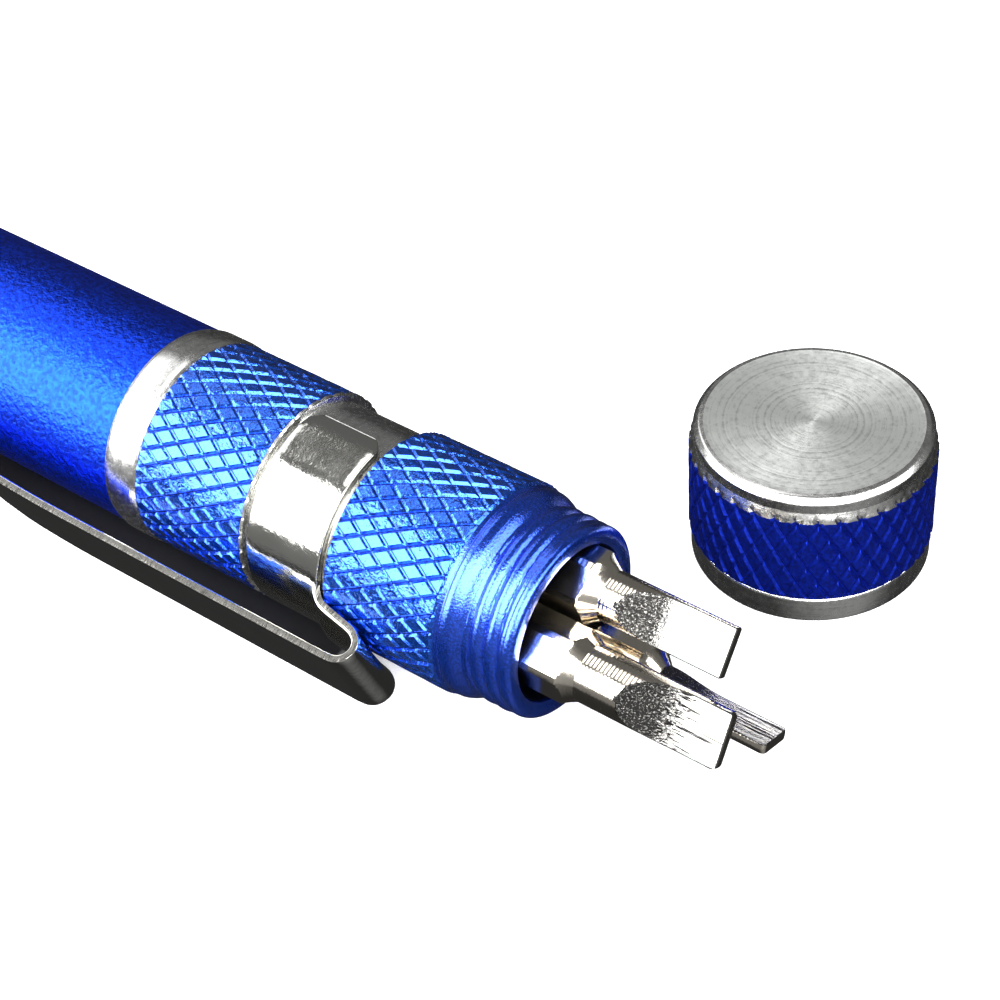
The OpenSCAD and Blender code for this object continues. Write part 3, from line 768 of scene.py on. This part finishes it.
def clip_band(s):
    """The open band in the groove, with rounded corners and burrs at its free ends."""
    out, side, along = clip_frame(s)
    arc = s.wrap / 2
    corner = s.corner_r / s.band_r
    end_round = 0.12
    burr_rows = 4
    eased = corner * np.array((0.0, 0.015, 0.035, 0.06, 0.1, 0.2, 0.35, 0.5, 0.65, 0.8))
    turns = [*(-arc + eased), *np.linspace(-arc + corner, arc - corner, 96), *(arc - eased[::-1])]
    stations = []
    for turn in turns:
        radial = out * math.cos(turn) + side * math.sin(turn)
        rest = (arc - abs(turn)) * s.band_r
        edge = max(0.0, s.corner_r - rest)
        half_w = s.band_w / 2 - s.corner_r + math.sqrt(max(s.corner_r ** 2 - edge ** 2, 0.0))
        near = min(1.0, rest / end_round)
        thick = s.thickness - 2 * end_round * (1 - math.sqrt(1 - (1 - near) ** 2))
        stations.append((along * s.band_x + radial * s.band_r, along, radial, half_w, thick, radial, 0.0))
    band = swept_strip("clip_band", stations, ["spring_steel", "sheared_edge", "burr"])
    for face in band.data.polygons:
        row = face.index // SECTION
        if min(row, len(stations) - 2 - row) < burr_rows:
            face.material_index = 2
    return band


def clip_arm(s):
    """The arm, which starts inside the band, folds back and goes along the barrel."""
    out, side, along = clip_frame(s)
    line = smooth_line(ARM, 5)
    foot_end = -13.38
    foot_start = -13.8
    foot_thinner = 0.06
    stations = []
    for k, (x, h, bow, width_share) in enumerate(line):
        run = (line[min(len(line) - 1, k + 1)] - line[max(0, k - 1)])[:2]
        run /= np.linalg.norm(run)
        through = -along * run[1] + out * run[0]
        thick = s.thickness - (foot_thinner if foot_start <= x <= foot_end else 0.0)
        stations.append((along * x + out * h, side, through, s.width / 2 * width_share, thick, out, bow))
    return swept_strip("clip_arm", stations, ["spring_steel", "sheared_edge"])


def build_clip():
    """The clip's band in its groove and the arm that folds back from it."""
    s = settings("clip")
    return [joined("pocket_clip_strip", [clip_band(s), clip_arm(s)])]


def build_cap():
    """The cap's bare boss and mouth band, its knurled wall and its threaded hollow."""
    s = settings("cap")
    origin = (s.x - MIDDLE_X, s.y - MIDDLE_Y, 0.0)
    rim = s.boss_r - s.chamfer - 0.25
    band = rounded([(0.0, s.bore_r + 0.25), (0.0, s.band_r - 0.2), (0.2, s.band_r),
                    (s.band_h - 0.12, s.band_r), (s.band_h, s.band_r - 0.1),
                    (s.band_h + 0.02, s.band_r - 0.3)], 0.1, 3)
    boss = rounded([(s.boss_low, s.boss_r - 0.03), (s.boss_low + 0.02, s.boss_r - 0.02),
                    (s.height - s.chamfer, s.boss_r), (s.height - 0.03, s.boss_r - s.chamfer),
                    (s.height, rim)], 0.08, 3)
    face = [(s.height, rim), (s.height - 0.02, rim - 0.1)]
    face += [(s.height - 0.02 - 0.03 * (1 - k / 12), rim * k / 12 + 0.001) for k in range(11, -1, -1)]
    ends = [BandEnd(s.band_h, s.band_r - 0.1, s.band_h + 0.2, 0),
            BandEnd(s.boss_low, s.boss_r - 0.02, s.knurl_top, 1)]
    made = [lathe("cap_mouth_band", band, "turned_side", 192, "Z", origin),
            # the cap's knurl carries painted shade in its colour
            knurl("cap_knurl", s, s.band_h, s.boss_low, ends, ["navy_knurl", "turned_side", "navy_knurl"],
                  "Z", origin),
            lathe("cap_boss", boss, "turned_side", 192, "Z", origin),
            lathe("cap_face", face, "turned_top", 192, "Z", origin),
            build_cap_hollow(s, origin)]
    return made


def build_cap_hollow(s, origin):
    """The cap's threaded hollow, seen from below, with rows from its top down, so that its faces look in."""
    fades = (0.3, 0.5, 4.7, 5.0)
    profile = [(s.hollow, 0.01), (s.hollow, s.bore_r - 0.35)]
    profile += [(z, s.bore_r) for z in np.linspace(s.hollow - 0.35, 0.25, 91)]
    profile.append((0.0, s.bore_r + 0.25))
    rows = threaded(profile, 144, 0.0, -settings("barrel").pitch, 0.25, fades)
    # the hollow's near-black colour is painted shade
    return turned_mesh("cap_hollow", *rows, "dark_bore", "Z", origin, 60.0)


def shank_mesh(s, bit):
    """Hexagonal shank with turned corners and the cone down to the shaft, the bit's tip at the origin."""
    hexagon_turn = math.radians(73.5)
    end_round = 0.35
    sixth = math.pi / 3
    back = -s.length
    front = -bit.shaft_w
    flat_reach = math.acos(s.across / 2 / s.corner_r)
    local = [flat_reach * k / 4 for k in range(-4, 5)]
    local += [flat_reach + (sixth - 2 * flat_reach) * k / 4 for k in range(1, 4)]
    turns = np.array([hexagon_turn + sixth * k + t for k in range(6) for t in local])
    from_flat = np.array([min(abs(t), abs(t - sixth)) for t in local] * 6)
    hexagon = np.minimum(s.across / 2 / np.cos(from_flat), s.corner_r)

    def limit(x):
        """Radius to which the shank is turned at a station."""
        if x < back + end_round:
            return s.corner_r - end_round + math.sqrt(max(end_round ** 2 - (back + end_round - x) ** 2, 0.0))
        if x > front:
            return s.corner_r + (bit.r - 0.06 - s.corner_r) * ((x - front) / s.neck_w) ** 0.8
        return s.corner_r

    stations = np.concatenate(([back], np.linspace(back, back + end_round, 9),
                               np.linspace(back + 1, front - 1, 5),
                               np.linspace(front - 0.2, front + s.neck_w, 40)))
    limits = np.array([0.01] + [limit(x) for x in stations[1:]])
    radii = np.minimum(hexagon, limits[:, None])
    points = turned_points(stations, radii, turns=turns)
    return mesh_object(bit.node + "_shank", points, grid_faces(*radii.shape), ["nickel"], sharp=18.0)


def ridged_shaft(s, bit):
    """Round shaft with fine turned ridges and a rounded tip, closed at both ends."""
    around = 96
    back = -bit.shaft_w + 0.2
    profile = [(back, bit.r - 0.1)]
    x = back + 0.35
    while x < -bit.tip_round - 0.2:
        profile += [(x, bit.r - s.ridge_h), (x + s.ridge_pitch * 0.3, bit.r),
                    (x + s.ridge_pitch * 0.6, bit.r)]
        x += s.ridge_pitch
    for turn in np.linspace(0.0, math.pi / 2, 6):
        profile.append((-bit.tip_round + bit.tip_round * math.sin(turn),
                        bit.r - bit.tip_round + bit.tip_round * math.cos(turn)))
    points = np.vstack(((back, 0.0, 0.0), turned_points(*round_rows(profile, around)), (0.0, 0.0, 0.0)))
    faces = [tuple(v + 1 for v in face) for face in grid_faces(len(profile), around)]
    last = len(points) - 1
    for j in range(around):
        k = (j + 1) % around
        faces.append((0, 1 + k, 1 + j))
        faces.append((last, last - around + j, last - around + k))
    return mesh_object(bit.node + "_shaft", points, faces, ["nickel", bit.node + "_grind"], sharp=30.0)


def wheel_middle(s, bit):
    """Station and height of the middle of the wheel that grinds a blade."""
    drop = bit.r - s.blade_t / 2
    return -bit.ground_w + math.sqrt(2 * s.wheel_r * drop - drop * drop), s.blade_t / 2 + s.wheel_r


def ground_height(s, bit, x):
    """Height of the ground face at a station of the wheel's run-out."""
    middle, height = wheel_middle(s, bit)
    return height - math.sqrt(s.wheel_r ** 2 - (x - middle) ** 2)


def ground_cutter(s, bit, sign):
    """What the grinding wheel takes from the upper side of a shaft, or for sign -1 from its lower side."""
    back = -bit.ground_w - 0.15
    beyond = 1.5
    clear = 4.0
    outline = [(x, ground_height(s, bit, x)) for x in np.linspace(back, wheel_middle(s, bit)[0], 25)]
    outline += [(beyond, s.blade_t / 2), (beyond, clear), (back, clear)]
    n = len(outline)
    points = [(x, y, z * sign) for y in (-clear, clear) for x, z in outline]
    faces = [tuple(range(n)), tuple(range(2 * n - 1, n - 1, -1))]
    faces += [(i, i + n, (i + 1) % n + n, (i + 1) % n) for i in range(n)]
    if sign < 0:
        faces = [face[::-1] for face in faces]
    return mesh_object("cutter", points, faces, ["nickel"])


def build_flat_bits():
    """The three flat bits that stand out of the mouth."""
    s = settings("bits")
    made = []
    for bit in FLATS:
        shaft = ridged_shaft(s, bit)
        for sign in (1.0, -1.0):
            cut(shaft, ground_cutter(s, bit, sign))
        for face in shaft.data.polygons:
            x = face.center.x / MM
            height = ground_height(s, bit, min(max(x, -bit.ground_w), wheel_middle(s, bit)[0]))
            off = abs(abs(face.center.z) / MM - height)
            ground = x > -bit.ground_w - 0.2 and off < 0.02 and abs(face.normal.z) > 0.5
            face.material_index = 1 if ground else 0
        shaft.data.shade_smooth()
        shaft.data.set_sharp_from_angle(angle=math.radians(28))
        shaft.data.transform(Matrix.Rotation(math.radians(bit.turn), 4, "X"))
        steel = joined(bit.node + "_steel", [shank_mesh(s, bit), shaft])
        lane = math.radians(bit.lane)
        steel.location = Vector((bit.tip - MIDDLE_X, s.lane_r * math.cos(lane) - MIDDLE_Y,
                                 s.lane_r * math.sin(lane) + AXIS_Z)) * MM
        made.append((steel, bit.body, bit.node))
    return made


# Operators


class SCREWDRIVER_OT_barrel(bpy.types.Operator):
    """Build the turned barrel with its ring, knurls, groove and threaded mouth"""
    bl_idname = "screwdriver.barrel"
    bl_label = "Build Barrel"

    def execute(self, context):
        made = build_barrel()
        for one in made:
            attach(one, "handle")
        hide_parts("barrel")
        return {"FINISHED"}


class SCREWDRIVER_OT_clip(bpy.types.Operator):
    """Build the pocket clip in its groove"""
    bl_idname = "screwdriver.clip"
    bl_label = "Build Pocket Clip"

    def execute(self, context):
        for one in build_clip():
            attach(one, "clip")
            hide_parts("pocket_clip")
        return {"FINISHED"}


class SCREWDRIVER_OT_cap(bpy.types.Operator):
    """Build the screw cap that stands beside the barrel"""
    bl_idname = "screwdriver.cap"
    bl_label = "Build Cap"

    def execute(self, context):
        made = build_cap()
        for one in made:
            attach(one, "screw_cap")
        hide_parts("cap")
        return {"FINISHED"}


class SCREWDRIVER_OT_flat_bits(bpy.types.Operator):
    """Build the three flat bits that stand out of the mouth"""
    bl_idname = "screwdriver.flat_bits"
    bl_label = "Build Flat Bits"

    def execute(self, context):
        for bit, body, name in build_flat_bits():
            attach(bit, body)
            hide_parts(name)
        return {"FINISHED"}


class SCREWDRIVER_OT_inner_parts(bpy.types.Operator):
    """Give the socket, the magnet and the stored bits their metal"""
    bl_idname = "screwdriver.inner_parts"
    bl_label = "Finish Inner Parts"

    def execute(self, context):
        known = looks()
        coats = {"bit_socket": "socket_turned", "socket_magnet": "magnet_plating"}
        for name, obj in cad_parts.items():
            if obj.hide_render:
                continue
            coat = known[coats.get(name, "nickel")]
            obj.data.materials.clear()
            obj.data.materials.append(coat)
        return {"FINISHED"}


def dim_sky(scene, strength):
    """Surroundings: softly lit above, nearly dark below, with the pale table's far parts seen low down."""
    world = scene.world or bpy.data.worlds.new("world")
    scene.world = world
    world.use_nodes = True
    tree = world.node_tree
    back = tree.nodes["Background"]
    towards = apart(tree, "Generated")
    above = between(tree, towards["Z"], 0.0, 0.2)
    parts = ((above, above, 0.78),
             (between(tree, towards["Y"], 0.35, -0.1), between(tree, towards["X"], 0.0, 0.6), 1.6),
             (between(tree, towards["Z"], -0.42, -0.32), between(tree, towards["Y"], -0.3, -0.6), 1.2))
    total = 0.22
    for first, second, level in parts:
        total = maths(tree, "MULTIPLY_ADD", maths(tree, "MULTIPLY", first, second), level, total)
    tree.links.new(total, back.inputs["Color"])
    back.inputs["Strength"].default_value = strength


def shade_under(tree, shader, pale, glow):
    """Painted shadow: the floor turns dark and loses its glow under the barrel, where it is seen between the
    clip's arm and the barrel.
    """
    place = apart(tree, "Object")
    # colour of the painted shadow
    dark = (0.003, 0.003, 0.006)
    middle = {"X": MIDDLE_X, "Y": MIDDLE_Y}
    # axis, where the painted shadow starts, where it is full
    borders = (("X", -11.0, -14.0), ("X", -100.0, -90.0), ("Y", -5.6, -4.8), ("Y", 3.0, 0.0))
    shade = 1.0
    for axis, start, full in borders:
        part = between(tree, place[axis], (start - middle[axis]) * MM, (full - middle[axis]) * MM)
        shade = maths(tree, "MULTIPLY", shade, part)
    tree.links.new(ramp(tree, shade, tuple(pale), dark), shader.inputs["Base Color"])
    tree.links.new(ramp(tree, shade, glow, 0.0), shader.inputs["Emission Strength"])


def pale_floor(s):
    """The pale floor that the screwdriver and its cap lie on, with a painted shadow under the barrel."""
    tree, shader = material("pale_floor", s.floor, 0.0, 0.8)
    shader.inputs["Emission Color"].default_value = (1.0, 1.0, 1.0, 1.0)
    shade_under(tree, shader, s.floor, s.glow)
    reach = 1.2
    mesh = bpy.data.meshes.new("floor")
    mesh.from_pydata([(-reach, -reach, 0), (reach, -reach, 0), (reach, reach, 0), (-reach, reach, 0)],
                     [], [(0, 1, 2, 3)])
    mesh.materials.append(bpy.data.materials["pale_floor"])
    floor = bpy.data.objects.new("floor", mesh)
    floor.location.z = -0.00002
    floor.visible_glossy = False
    bpy.context.scene.collection.objects.link(floor)
    return floor


def light_panel(name, s):
    """A far light panel, placed and sized by the angles of its row in the table."""
    a, o, wide, high = (math.radians(value) for value in PANELS[name])
    lit = Vector((0.035, -0.0085, 0.006))
    far = s.distance * MM
    away = Vector((math.sin(a), -math.cos(a) * math.sin(o), math.cos(a) * math.cos(o)))
    run = Vector((math.cos(a), math.sin(a) * math.sin(o), -math.sin(a) * math.cos(o)))
    data = bpy.data.lights.new(name + "_light", "AREA")
    data.shape = "RECTANGLE"
    data.size = 2 * far * math.tan(wide / 2)
    data.size_y = 2 * far * math.tan(high / 2)
    data.energy = getattr(s, name) * math.pi * data.size * data.size_y
    lamp = bpy.data.objects.new(name + "_light", data)
    turn = Matrix((run, away.cross(run), away)).transposed()
    lamp.matrix_world = Matrix.Translation(lit + away * far) @ turn.to_4x4()
    bpy.context.scene.collection.objects.link(lamp)


def photo_camera(scene, lens):
    """The photograph's camera, by its turn, its tilt down, its roll and its place from the mouth."""
    turn, down, roll = (math.radians(value) for value in (40.46, 42.02, -4.19))
    place = Vector((61.68 - MIDDLE_X, -77.56 - MIDDLE_Y, 105.39)) * MM
    data = bpy.data.cameras.new("camera")
    data.sensor_width = 36.0
    data.lens = lens
    data.clip_start = 0.005
    camera = bpy.data.objects.new("camera", data)
    ahead = Vector((-math.sin(turn) * math.cos(down), math.cos(turn) * math.cos(down), -math.sin(down)))
    right = Vector((math.cos(turn), math.sin(turn), 0.0))
    level = Matrix((right, right.cross(ahead), -ahead)).transposed().to_4x4()
    camera.matrix_world = Matrix.Translation(place) @ level @ Matrix.Rotation(roll, 4, "Z")
    scene.collection.objects.link(camera)
    scene.camera = camera


class SCREWDRIVER_OT_stage(bpy.types.Operator):
    """Set the floor, the lights and the camera of the photograph"""
    bl_idname = "screwdriver.stage"
    bl_label = "Set Stage"

    def execute(self, context):
        s = settings("stage")
        scene = context.scene
        floor = pale_floor(s)
        dim_sky(scene, s.sky)
        for name in PANELS:
            light_panel(name, s)
        photo_camera(scene, s.lens)
        scene.view_settings.view_transform = "Standard"
        return {"FINISHED"}


class SCREWDRIVER_PT_panel(bpy.types.Panel):
    """Buttons and sizes of the screwdriver"""
    bl_label = "Pocket Screwdriver"
    bl_idname = "SCREWDRIVER_PT_panel"
    bl_space_type = "VIEW_3D"
    bl_region_type = "UI"
    bl_category = "Screwdriver"

    def draw(self, context):
        for step in STEPS:
            self.layout.operator("screwdriver." + step)
        for name in GROUPS:
            box = self.layout.box()
            group = getattr(context.scene, "screwdriver_" + name)
            for key in group.__annotations__:
                box.prop(group, key)


STEPS = ("barrel", "clip", "cap", "flat_bits", "inner_parts", "stage")
GROUPS = {"barrel": BarrelSettings, "clip": ClipSettings, "cap": CapSettings, "bits": BitSettings,
          "finish": FinishSettings, "stage": StageSettings}
CLASSES = (*GROUPS.values(), SCREWDRIVER_OT_barrel, SCREWDRIVER_OT_clip, SCREWDRIVER_OT_cap,
           SCREWDRIVER_OT_flat_bits, SCREWDRIVER_OT_inner_parts, SCREWDRIVER_OT_stage, SCREWDRIVER_PT_panel)


def register():
    """Register the classes and hang the settings on the scene."""
    for one in CLASSES:
        bpy.utils.register_class(one)
    for name, group in GROUPS.items():
        setattr(bpy.types.Scene, "screwdriver_" + name, PointerProperty(type=group))


def unregister():
    """Take the settings off the scene and unregister the classes."""
    for name in GROUPS:
        delattr(bpy.types.Scene, "screwdriver_" + name)
    for one in reversed(CLASSES):
        bpy.utils.unregister_class(one)


def main():
    """Build every piece in order."""
    register()
    for step in STEPS:
        done = getattr(bpy.ops.screwdriver, step)()
        if "FINISHED" not in done:
            raise RuntimeError("step " + step + " did not finish")


if __name__ == "__main__":
    main()
